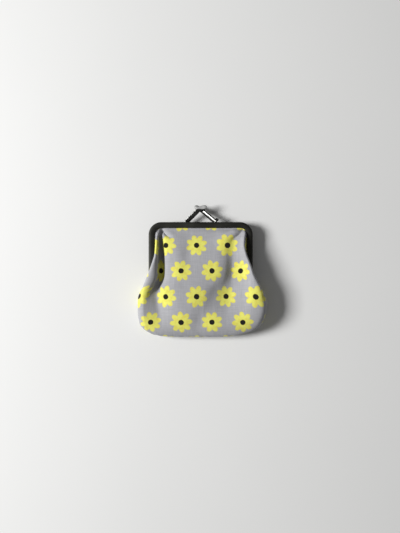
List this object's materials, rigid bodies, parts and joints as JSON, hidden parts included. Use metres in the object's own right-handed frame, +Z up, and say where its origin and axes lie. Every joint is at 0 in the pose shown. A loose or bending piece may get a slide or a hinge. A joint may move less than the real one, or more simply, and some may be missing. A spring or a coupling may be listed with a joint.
{
  "type": "kiss-lock coin pouch",
  "caption": "Small closed kiss-lock coin pouch: a hinged dark metal frame with crossing clasp tongues holds a soft printed cotton bag that bulges out below it.",
  "frame": {"origin": "centre of the bounding box, on the surface that the pouch lies on", "axes": "+Z up out of the front panel, +Y towards the clasp, +X to the right as seen from the front"},
  "size_m": [0.1028, 0.1062, 0.0197],
  "materials": {
    "frame_metal": "dark gunmetal plating, satin",
    "clasp_metal": "dark polished plating",
    "printed_cotton": "plain-weave cotton, printed with yellow blossoms on grey"
  },
  "bodies": {
    "root": {"frame_front": "frame_metal", "frame_back": "frame_metal", "hinge_rivet_left": "frame_metal", "hinge_rivet_right": "frame_metal", "clasp_front": "clasp_metal", "clasp_back": "clasp_metal", "pouch_front": "printed_cotton", "pouch_back": "printed_cotton"}
  },
  "joints": []
}
